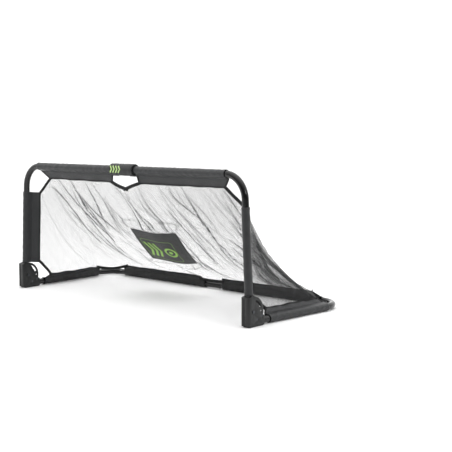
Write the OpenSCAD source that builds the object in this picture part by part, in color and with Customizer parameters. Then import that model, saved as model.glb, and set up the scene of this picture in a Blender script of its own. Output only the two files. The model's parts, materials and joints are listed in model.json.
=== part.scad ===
// Folding lawn goal: a front frame and a base frame of bent steel tube, hinged
// at the two lower corners, with fabric sleeves, a knitted net and centre joints
// that pull apart. Millimetres, +Z up, the goal mouth faces -Y.

/* [Frame] */
// Distance between the post axes at the height of the crossbar
bar_w = 1357; // [1000:1:1800]
// Height of the crossbar axis above the ground
bar_z = 582; // [460:1:800]
// Outward lean of each post, in degrees
post_splay = 2.9; // [0:0.1:4]
// Distance from the post plane back to the rear bar axis
base_depth = 573; // [440:1:760]
// Outward toe of each side tube towards the back, in degrees
side_splay = 3; // [0:0.1:4]
// Room between the base tubes and the feet
foot_room = 1; // [0.5:0.1:4]

/* [Tube] */
// Outside diameter of the frame tube
tube_od = 28; // [23:0.5:34]
// Wall of the frame tube
tube_wall = 1.5; // [1.2:0.1:2.5]
// Centreline radius of the four bends
bend_r = 100; // [70:1:130]

/* [Centre joints] */
// How far each spigot reaches into each tube
spigot_reach = 60; // [40:1:80]
// Wall of the spigots
spigot_wall = 2; // [1.5:0.1:3]
// Radial play of the sliding half of a spigot
slip_gap = 0.05; // [0.02:0.01:0.1]
// Diameter of the rivets that hold the spigots
rivet_d = 5; // [4:0.5:6]
// Length of the padded wrap over the crossbar joint
wrap_len = 145; // [118:1:220]
// Outside diameter of the padded wrap
wrap_od = 54; // [46:1:60]

/* [Corner hinge] */
// Clear height between the base tube and the post when it lies folded
pivot_room = 14; // [11:0.5:24]
// Radius of the quadrant plates
quadrant_r = 60; // [55:1:64]
// Thickness of each quadrant plate
plate_t = 2.4; // [2:0.1:4]
// How far the nose stands proud of the quadrant plates on each side
nose_step = 1; // [0.5:0.1:2]
// Radius of the nose's upright front corners
nose_corner = 10; // [6:1:14]
// Room between the tube and each side wall
side_room = 3.5; // [3:0.1:5]
// Reach of the hinge nose ahead of the post axis
nose_reach = 28; // [24:1:34]
// Reach of the base clamp behind the post axis
clamp_reach = 66; // [58:1:90]
// Diameter of the hinge bolt
bolt_d = 8; // [6:0.5:10]
// Diameter of the two clamp screws
screw_d = 5; // [4:0.5:6]
// Thickness of the rubber foot
foot_t = 3; // [2:0.5:5]
// Running play of the post plug on the hinge bolt
run_gap = 0.05; // [0.02:0.01:0.1]
// Free gap between pieces that pass each other
free_gap = 0.4; // [0.3:0.1:0.6]

/* [Fabric] */
// Outside diameter of the fabric sleeves
sleeve_od = 36; // [31:0.5:42]
// Thickness of the sleeve cloth and of the flaps
cloth_t = 2; // [1.5:0.1:3]
// Width of the flaps on the posts
flap_w = 46; // [36:1:70]
// Width of the flaps on the side tubes
side_flap_w = 31; // [24:1:50]
// Width of the crossbar flaps
bar_flap_w = 43; // [34:1:54]
// Width of the rear flap
back_flap_w = 30; // [24:1:40]
// Width of the border straps
strap_w = 12; // [9:0.5:16]
// Thickness of the border straps
strap_t = 2; // [1.5:0.1:3]
// Sag of the net below a straight slope
net_sag = 70; // [40:1:100]
// Thickness of the solid that stands for the net
net_t = 2; // [1.5:0.1:3]
// How far the two halves of the net lap at the centre
net_lap = 40; // [34:1:50]
// Width of the patch on the net
patch_w = 290; // [230:1:340]
// Length of the patch down the slope
patch_l = 245; // [200:1:290]
// Share of the slope above the patch
patch_from = 0.33; // [0.2:0.005:0.5]
// How far the middle of the patch stands right of the centre
patch_x = -30; // [-60:1:60]

/* [Hidden] */
$fn = 64;

// Colours
steel_black = "#141516";
cloth_grey = "#454749";
cloth_black = "#262728";
hinge_grey = "#3a3d3c";
binding_black = "#1c1c1d";
net_black = "#6a6c6e";
zinc = "#a9acae";

tube_r = tube_od / 2;
bore_r = tube_r - tube_wall;
sleeve_r = sleeve_od / 2;

// Heights of the base tube axes and of the hinge bolt
base_z = foot_t + tube_r + foot_room;
pivot_z = base_z + tube_od + pivot_room;

// The plan of the whole goal is centred on the origin
post_y = (max(wrap_od / 2, nose_reach) - base_depth - sleeve_r) / 2;
back_y = post_y + base_depth;

// Post axis at any height, and side tube axis at any depth
function post_x(z) = bar_w / 2 + (bar_z - z) * tan(post_splay);
hinge_x = post_x(pivot_z);
function side_x(y) = hinge_x + (y - post_y) * tan(side_splay);

// Bends: the turn and the length of each tangent
front_turn = 90 - post_splay;
back_turn = 90 + side_splay;
front_tan = bend_r * tan(front_turn / 2);
back_tan = bend_r * tan(back_turn / 2);
corner_x = side_x(back_y);

// Hinge
half_room = tube_r + side_room;
half_plate = half_room + plate_t;
half_hinge = half_plate + nose_step;
nose_rear = -10;
// How far the plan outline stands outside the side profile
plan_margin = 0.3;
post_end = pivot_z - 20;
swing_r = norm([tube_r, pivot_z - post_end]) + 1;
nose_top = pivot_z + 52;
stop_z = pivot_z - tube_r - free_gap;
clamp_top = pivot_z - sleeve_r - 1;
clamp_front = quadrant_r - 2;
tube_start = post_y + swing_r + 5;
// Depth of the screw heads' recesses
sink = 2;
slot_r = 45;
slot_w = 9;
plug_len = 60;
washer_r = bolt_d / 2 + 5;

// Sleeves: where each starts and stops
post_sleeve_lo = pivot_z + quadrant_r + 3;
post_sleeve_hi = bar_z - bend_r * 1.25;
bar_sleeve_in = 36;
bar_sleeve_out = bar_w / 2 - front_tan + 4;
back_sleeve_in = 55;
back_sleeve_out = corner_x - back_tan - 6;
side_sleeve_front = post_y + 106;
side_sleeve_back = back_y - back_tan - 4;
sleeve_bore = tube_r + 0.3;

// The slack strap under the crossbar joint hangs this far below the flaps
drop = 26;
bar_flap_in = wrap_len / 2 + 3;

// Flap edges that the straps and the net share
fold = 45;
flap_root = sleeve_r + 0.6;
flap_reach = (flap_root + flap_w) * sin(fold);
side_reach = (flap_root + side_flap_w) * sin(fold);
bar_tilt = 24;
bar_reach = flap_root + bar_flap_w;
bar_edge_y = post_y + bar_reach * sin(bar_tilt);
bar_edge_z = bar_z - bar_reach * cos(bar_tilt);
back_tilt = 35;
back_reach = flap_root + back_flap_w;
back_edge_y = back_y - back_reach * sin(back_tilt);
back_edge_z = base_z + back_reach * cos(back_tilt);
// How far each end of a flap is cut back at its free edge
bar_cut_in = 8;
bar_cut_out = 38;
side_cut_front = 20;
side_cut_back = 22;
back_cut_in = 14;
back_cut_out = 30;

// ---------------------------------------------------------------- helpers

module ring(r, t) {
  difference() {
    circle(r = r);
    circle(r = r - t);
  }
}

module pipe(r, t, length) {
  linear_extrude(length) ring(r, t);
}

// A pipe from one point to another
module pipe_between(p, q, r, t) {
  d = q - p;
  translate(p)
    rotate([0, acos(d.z / norm(d)), atan2(d.y, d.x)])
      pipe(r, t, norm(d));
}

// Bent tube in the XY plane, from angle a0 through turn degrees about the origin
module bend(a0, turn) {
  rotate([0, 0, a0])
    rotate_extrude(angle = turn, $fn = 96)
      translate([bend_r, 0]) ring(tube_r, tube_wall);
}

// A flat strap from one point to another, lying against the given roll
module strap_between(p, q, roll = 0) {
  d = q - p;
  translate(p)
    rotate([0, acos(d.z / norm(d)), atan2(d.y, d.x)])
      rotate([0, 0, roll])
        translate([-strap_t / 2, -strap_w / 2, 0])
          cube([strap_t, strap_w, norm(d)]);
}

// Carries a child from the frame of a right post: Z up the post, X outwards
module on_post() {
  translate([hinge_x, post_y, pivot_z]) rotate([0, -post_splay, 0]) children();
}

// Carries a child from the frame of a right side tube: Z towards the front, Y up
module on_side() {
  translate([hinge_x, post_y, base_z]) rotate([90, 0, -side_splay]) children();
}

// ---------------------------------------------------------------- steel frame

module front_tube() color(steel_black) {
  up = [-sin(post_splay), 0, cos(post_splay)];
  corner = [bar_w / 2, post_y, bar_z];
  foot = [post_x(post_end), post_y, post_end];
  difference() {
    union() {
      pipe_between(foot, corner - up * front_tan, tube_r, tube_wall);
      translate([bar_w / 2 - front_tan, post_y, bar_z - bend_r])
        rotate([90, 0, 0]) bend(post_splay, front_turn);
      translate([0, post_y, bar_z])
        rotate([0, 90, 0]) pipe(tube_r, tube_wall, bar_w / 2 - front_tan);
    }
    translate([hinge_x, post_y, pivot_z])
      rotate([0, 90, 0]) cylinder(h = 2 * half_hinge, r = bolt_d / 2 + 0.6, center = true);
  }
}

module base_tube() color(steel_black) {
  out = [sin(side_splay), cos(side_splay), 0];
  corner = [corner_x, back_y, base_z];
  front = [side_x(tube_start), tube_start, base_z];
  pipe_between(front, corner - out * back_tan, tube_r, tube_wall);
  translate([corner_x - back_tan, back_y - bend_r, base_z])
    bend(-side_splay, back_turn);
  translate([0, back_y, base_z])
    rotate([0, 90, 0]) pipe(tube_r, tube_wall, corner_x - back_tan);
}

// Rivet hole through the inner end of the tube that holds a spigot
module rivet_hole(y, z) {
  translate([spigot_reach / 2, y, z]) cylinder(h = 2 * tube_od, r = rivet_d / 2, center = true);
}

// The slip joint's inner tube: pressed into the right half, free in the left
module spigot(y, z) color(zinc) {
  difference() {
    translate([-spigot_reach, y, z])
      rotate([0, 90, 0]) pipe(bore_r - slip_gap, spigot_wall, 2 * spigot_reach);
    rivet_hole(y, z);
  }
}

rivet_head_r = rivet_d * 0.8;
rivet_head_t = 1.5;

module spigot_rivet(y, z) color(zinc) {
  translate([spigot_reach / 2, y, z]) {
    cylinder(h = tube_od + 1, r = rivet_d / 2, center = true);
    for (side = [-1, 1])
      translate([0, 0, side * (tube_r + rivet_head_t / 2)])
        cylinder(h = rivet_head_t, r = rivet_head_r, center = true);
  }
}

// ---------------------------------------------------------------- corner hinge

// Side profile of the hinge, x back from the post axis and y up
module hinge_profile() {
  nose_r = 12;
  translate([0, pivot_z]) circle(r = quadrant_r);
  translate([-nose_reach + nose_r, foot_t + nose_r]) circle(r = nose_r);
  translate([-nose_reach, foot_t + nose_r]) square([nose_reach, nose_top - foot_t - 2 * nose_r]);
  translate([-nose_reach + nose_r, foot_t]) square([clamp_reach + nose_reach - nose_r, clamp_top - foot_t]);
  translate([-nose_reach + nose_r, foot_t]) square([clamp_front + nose_reach - nose_r, stop_z - foot_t]);
  translate([-nose_reach + nose_r, nose_top - nose_r]) circle(r = nose_r);
  translate([-nose_reach + nose_r, pivot_z]) square([nose_reach - nose_r, nose_top - pivot_z]);
}

// Part of the disc that stands ahead of or below the profile is cut away
module hinge_outline() {
  intersection() {
    hinge_profile();
    translate([-nose_reach, foot_t]) square([nose_reach + clamp_reach, pivot_z + quadrant_r]);
  }
}

// The quadrant's see-through slot and the empty lock hole below it
module hinge_windows() {
  translate([0, pivot_z]) {
    difference() {
      circle(r = slot_r + slot_w / 2);
      circle(r = slot_r - slot_w / 2);
      rotate(70) translate([-100, 0]) square([200, 100]);
      rotate(20) translate([-100, -100]) square([200, 100]);
      translate([-100, -100]) square([100, 200]);
    }
    translate([slot_r + 2, -1]) circle(r = 2.6);
  }
}

// Room for the post to swing from upright to flat
module hinge_cavity() {
  translate([0, pivot_z]) circle(r = swing_r);
  translate([-tube_r - free_gap, pivot_z]) square([200, 200]);
  translate([0, stop_z]) square([200, 200]);
}

// Places a side profile in the hinge's plane, t wide from x0 outwards
module hinge_slab(x0, t) {
  translate([hinge_x + x0, post_y, 0])
    rotate([90, 0, 90]) linear_extrude(t) children();
}

module clamp_screw_spots() {
  screw_in = screw_d + 2;
  for (p = [[clamp_front - screw_in, stop_z - screw_in], [swing_r - 1, pivot_z - swing_r - screw_in]])
    translate(p) children();
}

// Plan of the hinge: the nose has rounded upright corners and the plates stand in.
// Its front and sides stand just outside the profile's, so the two never lie in one plane
module hinge_plan() {
  top = pivot_z + quadrant_r + 1;
  front = -nose_reach - plan_margin;
  side = half_hinge + plan_margin;
  translate([hinge_x, post_y, 0]) linear_extrude(top) {
    for (x = [nose_corner - side, side - nose_corner])
      translate([x, front + nose_corner]) circle(r = nose_corner);
    translate([nose_corner - side, front]) square([2 * (side - nose_corner), 2 * nose_corner]);
    translate([-side, front + nose_corner]) square([2 * side, nose_rear - front - nose_corner]);
    translate([-half_plate, nose_rear - 1]) square([2 * half_plate, clamp_reach + 2 - nose_rear]);
  }
}

// One half of the hinge housing: side is 1 for the outer half, -1 for the inner
module hinge_half(side) color(hinge_grey) {
  difference() {
    intersection() {
      hinge_slab(side > 0 ? 0 : -half_hinge, half_hinge) hinge_outline();
      hinge_plan();
    }
    hinge_slab(-half_room, 2 * half_room) hinge_cavity();
    hinge_slab(-half_hinge - 1, 2 * half_hinge + 2) {
      hinge_windows();
      clamp_screw_spots() circle(r = screw_d / 2);
      translate([0, pivot_z]) circle(r = bolt_d / 2);
    }
    for (x0 = [-half_plate - 2, half_plate - sink])
      hinge_slab(x0, 2 + sink) clamp_screw_spots() circle(r = screw_d);
    pipe_between([side_x(tube_start - 1), tube_start - 1, base_z],
                 [side_x(post_y + 200), post_y + 200, base_z], tube_r, tube_r);
  }
}

module hinge_bolt() color(zinc) {
  head_t = 2.5;
  translate([hinge_x, post_y, pivot_z]) rotate([0, 90, 0]) {
    cylinder(h = 2 * half_plate, r = bolt_d / 2, center = true);
    for (side = [-1, 1])
      translate([0, 0, side * (half_plate + head_t / 2)])
        cylinder(h = head_t, r = bolt_d * 0.75, center = true);
  }
}

module clamp_screws() color(zinc) {
  head_t = sink - 0.4;
  hinge_slab(sink - half_plate, 2 * (half_plate - sink)) clamp_screw_spots() circle(r = screw_d / 2);
  for (x0 = [-half_plate + 0.4, half_plate - sink])
    hinge_slab(x0, head_t) clamp_screw_spots() circle(r = screw_d - 0.3);
}

module foot() color(binding_black) {
  inset = 4;
  hinge_slab(-half_hinge + inset, 2 * half_hinge - 2 * inset)
    translate([-nose_reach + 3 * inset, 0])
      square([clamp_reach + nose_reach - 4 * inset, foot_t]);
}

// Moulded plug in the foot of the post: the post turns on the bolt through it
module post_plug() color(hinge_grey) {
  difference() {
    on_post() translate([0, 0, post_end - pivot_z + 1])
      cylinder(h = plug_len, r = bore_r - slip_gap);
    translate([hinge_x, post_y, pivot_z])
      rotate([0, 90, 0]) cylinder(h = 4 * tube_r, r = bolt_d / 2 + run_gap, center = true);
  }
}

// Flanged washers that keep the tube central between the side walls
module hinge_washers() color(zinc) {
  t = side_room - 1.2;
  for (side = [-1, 1])
    translate([hinge_x + side * (half_room - 0.2 - t / 2), post_y, pivot_z])
      rotate([0, 90, 0])
        difference() {
          cylinder(h = t, r = washer_r, center = true);
          cylinder(h = t + 2, r = bolt_d / 2 + run_gap, center = true);
        }
}

// ---------------------------------------------------------------- sleeves

module cloth_tube(length) {
  linear_extrude(length)
    difference() {
      circle(r = sleeve_r);
      circle(r = sleeve_bore);
    }
}

module post_sleeve() color(cloth_grey) {
  scale_up = 1 / cos(post_splay);
  on_post() translate([0, 0, (post_sleeve_lo - pivot_z) * scale_up])
    cloth_tube((post_sleeve_hi - post_sleeve_lo) * scale_up);
}

module bar_sleeve() color(cloth_grey) {
  translate([bar_sleeve_in, post_y, bar_z])
    rotate([0, 90, 0]) cloth_tube(bar_sleeve_out - bar_sleeve_in);
}

module side_sleeve() color(cloth_grey) {
  start = (side_sleeve_front - post_y) / cos(side_splay);
  stop = (side_sleeve_back - post_y) / cos(side_splay);
  on_side() translate([0, 0, -stop]) cloth_tube(stop - start);
}

module back_sleeve() color(cloth_black) {
  translate([back_sleeve_in, back_y, base_z])
    rotate([0, 90, 0]) cloth_tube(back_sleeve_out - back_sleeve_in);
}

// ---------------------------------------------------------------- flaps

// A flap: a sheet standing off a sleeve, width w, lengthwise from a to b at the
// sleeve and from c to d at its free edge, in the XY plane with Y off the sleeve
module flap_sheet(w, a, b, c, d) {
  edge = flap_root + w;
  translate([0, 0, -cloth_t / 2]) linear_extrude(cloth_t)
    polygon([[a, flap_root], [b, flap_root], [d, edge], [c, edge]]);
}

// Inwards and backwards from the post
module post_flap() color(cloth_grey) {
  lo = (post_sleeve_lo - pivot_z) / cos(post_splay);
  hi = (post_sleeve_hi - pivot_z) / cos(post_splay);
  on_post() rotate([0, 0, fold]) rotate([0, -90, 0])
    flap_sheet(flap_w, lo, hi, lo, hi);
}

module bar_flap() color(cloth_grey) {
  translate([0, post_y, bar_z]) rotate([bar_tilt - 90, 0, 0])
    flap_sheet(bar_flap_w, bar_flap_in, bar_sleeve_out,
               bar_flap_in + bar_cut_in, bar_sleeve_out - bar_cut_out);
}

// Inwards and upwards from the side tube
module side_flap() color(cloth_grey) {
  start = (side_sleeve_front - post_y) / cos(side_splay);
  stop = (side_sleeve_back - post_y) / cos(side_splay);
  on_side() rotate([0, 0, fold]) rotate([0, 90, 0])
    flap_sheet(side_flap_w, start, stop, start + side_cut_front, stop - side_cut_back);
}

// Upwards and forwards from the rear bar
module back_flap() color(cloth_black) {
  translate([0, back_y, base_z]) rotate([90 + back_tilt, 0, 0])
    flap_sheet(back_flap_w, back_sleeve_in, back_sleeve_out,
               back_sleeve_in + back_cut_in, back_sleeve_out - back_cut_out);
}

// ---------------------------------------------------------------- border straps

// Free edge of the post flap at height z, and of the side flap at depth y
function post_edge(z) = [post_x(z) - flap_reach, post_y + flap_reach, z];
function side_edge(y) = [side_x(y) - side_reach, y, base_z + side_reach];
bar_edge_end = [bar_sleeve_out - bar_cut_out, bar_edge_y, bar_edge_z];
back_edge_end = [back_sleeve_out - back_cut_out, back_edge_y, back_edge_z];

// Between two points, kept clear of what it joins at each end
module joining_strap(p, q, roll) color(binding_black) {
  u = (q - p) / norm(q - p);
  strap_between(p + u * 6, q - u * 6, roll);
}

module top_strap()
  joining_strap(bar_edge_end + [8, 0, -8], post_edge(post_sleeve_hi) + [-6, 4, 6], 60);
module low_strap()
  joining_strap(post_edge(post_sleeve_lo) + [-6, 6, -6],
                side_edge(side_sleeve_front + side_cut_front) + [0, 0, 8], 0);
module back_strap()
  joining_strap(side_edge(side_sleeve_back - side_cut_back) + [-4, 4, 4],
                back_edge_end + [8, -4, 4], 90);

// Half of the strap that hangs slack below the crossbar joint
module drop_strap() {
  y = bar_edge_y + 6;
  joining_strap([bar_flap_in + bar_cut_in, y, bar_edge_z - 2], [-net_lap, y, bar_edge_z - drop], 90);
}

// Strap across the gap of the rear bar, low on the cut ends of the flaps and before them
module gap_strap() {
  reach = flap_root + back_flap_w * 0.45;
  x = back_sleeve_in + 20;
  y = back_y - reach * sin(back_tilt) - 9;
  z = base_z + reach * cos(back_tilt);
  joining_strap([x, y, z], [-x, y, z], 90);
}

// ---------------------------------------------------------------- net

net_top = [bar_edge_y + 16, bar_edge_z - 12];
net_foot = [back_edge_y - 12, back_edge_z + 4];
net_steps = 12;

// Profile of the slope, y and z: a straight line pulled down by the sag
function slope(t, drop) =
  net_top + (net_foot - net_top) * t - [1, 1] * 2 * t * (1 - t) * net_sag - [0, drop];
function slope_line(drop) = [for (i = [0:net_steps]) slope(i / net_steps, drop)];

module slope_sheet(x0, x1, thick, from = 0, to = 1, lift = 0) {
  upper = [for (i = [0:net_steps]) slope(from + (to - from) * i / net_steps, -lift)];
  lower = [for (i = [net_steps:-1:0]) slope(from + (to - from) * i / net_steps, thick - lift)];
  translate([x0, 0, 0]) rotate([90, 0, 90]) linear_extrude(x1 - x0) polygon(concat(upper, lower));
}

net_side_x = post_x(post_sleeve_hi) - flap_reach - 14;

// The slope, with its corners cut back clear of the top and back straps
module back_net() color(net_black, 0.5)
  intersection() {
    slope_sheet(-net_lap, net_side_x - 8, net_t);
    translate([0, back_y, 0]) rotate([90, 0, 0]) linear_extrude(base_depth)
      polygon([[-net_lap, 0], [back_edge_end.x - 20, 0], [net_side_x - 8, back_edge_z + 60],
               [net_side_x - 8, post_sleeve_hi - 40], [bar_edge_end.x - 20, bar_edge_z],
               [-net_lap, bar_edge_z]]);
  }

module side_net() color(net_black, 0.5) {
  foot_z = base_z + side_reach + 12;
  front_y = post_y + flap_reach + 14;
  edge = [for (i = [2:net_steps - 2]) slope(i / net_steps, net_t + 4)];
  inside = [for (p = edge) if (p.x > front_y + 2 && p.y > foot_z + 2) p];
  translate([net_side_x, 0, 0]) rotate([90, 0, 90]) linear_extrude(net_t)
    polygon(concat([[front_y, foot_z], [front_y, inside[0].y]], inside,
                   [[inside[len(inside) - 1].x + 10, foot_z]]));
}

// The patch lies inside the goal, clear of both halves of the net
module patch() color(cloth_grey)
  slope_sheet(patch_x - patch_w / 2, patch_x + patch_w / 2, cloth_t,
              patch_from, patch_from + patch_l / norm(net_foot - net_top), -2 * net_t - 2);

// ---------------------------------------------------------------- centre

// The wrap clears the sleeves and the rivet's heads
module joint_wrap() color(cloth_black) {
  wrap_bore = max(sleeve_r, norm([tube_r + rivet_head_t, rivet_head_r])) + free_gap;
  translate([-wrap_len / 2, post_y, bar_z]) rotate([0, 90, 0])
    difference() {
      cylinder(h = wrap_len, r = wrap_od / 2);
      translate([0, 0, -1]) cylinder(h = wrap_len + 2, r = wrap_bore);
    }
}

// The right halves hold the spigots, so their tubes take the rivets
module drilled(y, z) {
  difference() {
    children();
    rivet_hole(y, z);
  }
}

// The left net hangs just under the right one where they lap
module left() mirror([1, 0, 0]) children();
module left_under() translate([0, 0, -net_t - 1]) left() children();

// ---------------------------------------------------------------- nodes

drilled(back_y, base_z) base_tube();  // right_base_tube
hinge_half(1);  // right_hinge_outer
hinge_half(-1);  // right_hinge_inner
hinge_bolt();  // right_hinge_bolt
clamp_screws();  // right_clamp_screws
foot();  // right_foot
side_sleeve();  // right_side_sleeve
back_sleeve();  // right_back_sleeve
drilled(post_y, bar_z) front_tube();  // right_front_tube
post_plug();  // right_post_plug
hinge_washers();  // right_hinge_washers
post_sleeve();  // right_post_sleeve
bar_sleeve();  // right_bar_sleeve
post_flap();  // right_post_flap
bar_flap();  // right_bar_flap
side_flap();  // right_side_flap
back_flap();  // right_back_flap
top_strap();  // right_top_strap
low_strap();  // right_low_strap
back_strap();  // right_back_strap
drop_strap();  // right_drop_strap
side_net();  // right_side_net
back_net();  // right_back_net
left() base_tube();  // left_base_tube
left() hinge_half(1);  // left_hinge_outer
left() hinge_half(-1);  // left_hinge_inner
left() hinge_bolt();  // left_hinge_bolt
left() clamp_screws();  // left_clamp_screws
left() foot();  // left_foot
left() side_sleeve();  // left_side_sleeve
left() back_sleeve();  // left_back_sleeve
left() front_tube();  // left_front_tube
left() post_plug();  // left_post_plug
left() hinge_washers();  // left_hinge_washers
left() post_sleeve();  // left_post_sleeve
left() bar_sleeve();  // left_bar_sleeve
left() post_flap();  // left_post_flap
left() bar_flap();  // left_bar_flap
left() side_flap();  // left_side_flap
left() back_flap();  // left_back_flap
left() top_strap();  // left_top_strap
left() low_strap();  // left_low_strap
left() back_strap();  // left_back_strap
translate([0, strap_t + 1, 0]) left() drop_strap();  // left_drop_strap
left() side_net();  // left_side_net
left_under() back_net();  // left_back_net
spigot(post_y, bar_z);  // bar_spigot
spigot_rivet(post_y, bar_z);  // bar_spigot_rivet
spigot(back_y, base_z);  // back_spigot
spigot_rivet(back_y, base_z);  // back_spigot_rivet
joint_wrap();
gap_strap();
patch();
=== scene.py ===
# %% [markdown]
# # A folding lawn goal
# The steel frame, the corner hinges and the spigots come from the CAD model and keep their
# shape. Everything that is cloth is made here: sleeves, flaps, binding, net, wrap and patch.
# Each cell makes one thing and prints what it made, so the goal can be followed piece by piece.

# %% Load the CAD frame
import json
import math

import bmesh
import bpy
import numpy as np
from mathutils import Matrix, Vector
from mathutils.bvhtree import BVHTree
from mathutils.kdtree import KDTree


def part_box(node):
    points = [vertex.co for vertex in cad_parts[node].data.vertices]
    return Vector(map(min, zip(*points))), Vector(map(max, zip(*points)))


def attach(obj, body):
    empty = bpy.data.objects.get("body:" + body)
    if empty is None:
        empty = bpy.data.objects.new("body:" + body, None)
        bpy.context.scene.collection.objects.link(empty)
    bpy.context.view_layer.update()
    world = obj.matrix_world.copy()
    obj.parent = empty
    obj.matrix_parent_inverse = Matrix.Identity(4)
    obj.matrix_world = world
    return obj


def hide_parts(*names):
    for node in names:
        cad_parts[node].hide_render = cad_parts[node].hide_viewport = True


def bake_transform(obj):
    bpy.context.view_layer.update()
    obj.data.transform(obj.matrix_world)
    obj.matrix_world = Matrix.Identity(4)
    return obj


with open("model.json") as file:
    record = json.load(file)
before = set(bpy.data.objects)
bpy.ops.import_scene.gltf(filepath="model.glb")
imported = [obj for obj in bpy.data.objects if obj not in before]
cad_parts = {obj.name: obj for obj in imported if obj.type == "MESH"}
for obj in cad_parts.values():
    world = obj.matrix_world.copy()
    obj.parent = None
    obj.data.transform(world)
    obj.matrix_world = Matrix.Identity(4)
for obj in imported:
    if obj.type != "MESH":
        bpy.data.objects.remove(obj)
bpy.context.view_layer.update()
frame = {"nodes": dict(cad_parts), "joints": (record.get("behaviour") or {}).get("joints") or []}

# %% [markdown]
# The camera looks at the goal from the front right, a little above its top. It could be aimed
# with a Track To constraint, but a plain position and rotation show the angle at once. A long
# lens keeps the near post from looking too tall beside the far one.

# %% Camera
EYE = (3.090, -3.064, 0.754)
EYE_TURN = 42.0  # degrees round from straight behind the camera, looking along +Y
EYE_TILT = 5.7  # degrees below the horizon
LENS = 77.4  # mm, on a sensor 36 mm wide

lens = bpy.data.cameras.new("camera")
lens.lens = LENS
lens.sensor_width = 36.0
camera = bpy.data.objects.new("camera", lens)
camera.location = EYE
camera.rotation_euler = (math.radians(90 - EYE_TILT), 0, math.radians(EYE_TURN))
bpy.context.collection.objects.link(camera)
bpy.context.scene.camera = camera
print("camera at", EYE, "lens", LENS, "mm")

# %% [markdown]
# Sizes are read from the frame where it holds them. A CAD node's box gives a tube's radius or a
# flap's edge, and the fold joint gives the hinge bolt's place. The posts' lean and the side tubes'
# toe are design angles, so they are written down here.

# %% Sizes from the frame
JOINTS = {joint["name"]: joint for joint in frame["joints"]}
PIVOT = Vector(JOINTS["right_fold"]["pos_m"])
SIDES = {"right": 1, "left": -1}
POST_LEAN = math.tan(math.radians(2.9))
SIDE_LEAN = math.tan(math.radians(3.0))

X, Y, Z = 0, 1, 2

def span(node, axis):
    low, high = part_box(node)
    return low[axis], high[axis]

def size(node, axis):
    low, high = span(node, axis)
    return high - low

def middle(node, axis):
    return sum(span(node, axis)) / 2

TUBE_R = size("right_front_tube", Y) / 2
SLEEVE_R = size("right_bar_sleeve", Z) / 2
BAR_Z = span("right_front_tube", Z)[1] - TUBE_R
BASE_Z = middle("right_base_tube", Z)
BACK_Y = span("right_base_tube", Y)[1] - TUBE_R

def post_x(z):
    return PIVOT.x - (z - PIVOT.z) * POST_LEAN

def side_x(y):
    return PIVOT.x + (y - PIVOT.y) * SIDE_LEAN

print("tube radius", round(TUBE_R, 4), "sleeve radius", round(SLEEVE_R, 4),
      "bar at z", round(BAR_Z, 3))

# %% [markdown]
# Colours are written as the sRGB hex values that a paint chart gives. Blender's shaders work in
# linear light, so one function turns hex to linear. A second small function adds a node, sets its
# values and joins its inputs, which keeps each material short enough to read in one go.

# %% Colour and node helpers
def linear(hex_colour):
    parts = [int(hex_colour[i:i + 2], 16) / 255 for i in (1, 3, 5)]
    return [c / 12.92 if c <= 0.04045 else ((c + 0.055) / 1.055) ** 2.4 for c in parts] + [1.0]

def add(tree, kind, settings=None, **inputs):
    """an input is named by its socket, or by i and its number where sockets share a name"""
    node = tree.nodes.new("ShaderNode" + kind)
    for key, value in (settings or {}).items():
        setattr(node, key, value)
    for key, value in inputs.items():
        numbered = key[1:].isdigit()
        socket = node.inputs[int(key[1:]) if numbered else key.replace("_", " ")]
        if isinstance(value, bpy.types.NodeSocket):
            tree.links.new(value, socket)
        else:
            socket.default_value = value
    return node

def new_material(name, roughness, **shader):
    material = bpy.data.materials.new(name)
    material.use_nodes = True
    tree = material.node_tree
    surface = tree.nodes["Principled BSDF"]
    surface.inputs["Roughness"].default_value = roughness
    for key, value in shader.items():
        surface.inputs[key.replace("_", " ")].default_value = value
    return material, tree, surface

def shade(tree, surface, colour=None, roughness=None, height=None, depth=0.001, strength=1.0):
    if colour is not None:
        tree.links.new(colour, surface.inputs["Base Color"])
    if roughness is not None:
        tree.links.new(roughness, surface.inputs["Roughness"])
    if height is not None:
        bump = add(tree, "Bump", Height=height, Distance=depth, Strength=strength)
        tree.links.new(bump.outputs["Normal"], surface.inputs["Normal"])

def mix_colours(tree, share, first, second):
    mixed = add(tree, "MixRGB", None, i0=share, i1=linear(first), i2=linear(second))
    return mixed.outputs[0]

def ramp(tree, value, low, high, out_low=0.0, out_high=1.0):
    node = add(tree, "MapRange", None, Value=value, From_Min=low, From_Max=high,
               To_Min=out_low, To_Max=out_high)
    return node.outputs["Result"]

def object_place(tree):
    return add(tree, "TexCoord").outputs["Object"]

def cloth_place(tree):
    return add(tree, "UVMap", {"uv_map": "cloth"}).outputs["UV"]

WAVE_PERIOD = 0.314  # a wave texture repeats every 0.314 / scale

# %% [markdown]
# The frame is steel tube with a gloss black powder coat. Powder melts into a thick skin with a
# faint orange-peel ripple about 3 mm across, so highlights stay sharp but wander a little. A
# clear coat layer over a black base gives the deep gloss, and fine noise lifts the roughness
# where handling has dulled it.

# %% Powder-coated steel
def powder_coated_steel():
    material, tree, surface = new_material("powder coated steel", 0.2, Coat_Weight=0.3,
                                           Coat_Roughness=0.04, Specular_IOR_Level=0.3)
    place = object_place(tree)
    peel = add(tree, "TexNoise", Vector=place, Scale=330.0, Detail=1.0)
    wear = add(tree, "TexNoise", Vector=place, Scale=28.0, Detail=4.0)
    colour = mix_colours(tree, ramp(tree, wear.outputs[0], 0.3, 0.8), "#050506", "#0c0d0e")
    shade(tree, surface, colour, ramp(tree, wear.outputs[0], 0.35, 0.75, 0.12, 0.24),
          peel.outputs[0], 0.0002, 0.3)
    return material

STEEL = powder_coated_steel()
print("made", STEEL.name)

# %% [markdown]
# Spigots and rivets are zinc-plated steel: a bright, slightly blue-grey metal, with a soft crystal
# mottle from the plating and fine turning marks. The hinge's bolt, screws and washers have the
# same plating dyed black.

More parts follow.
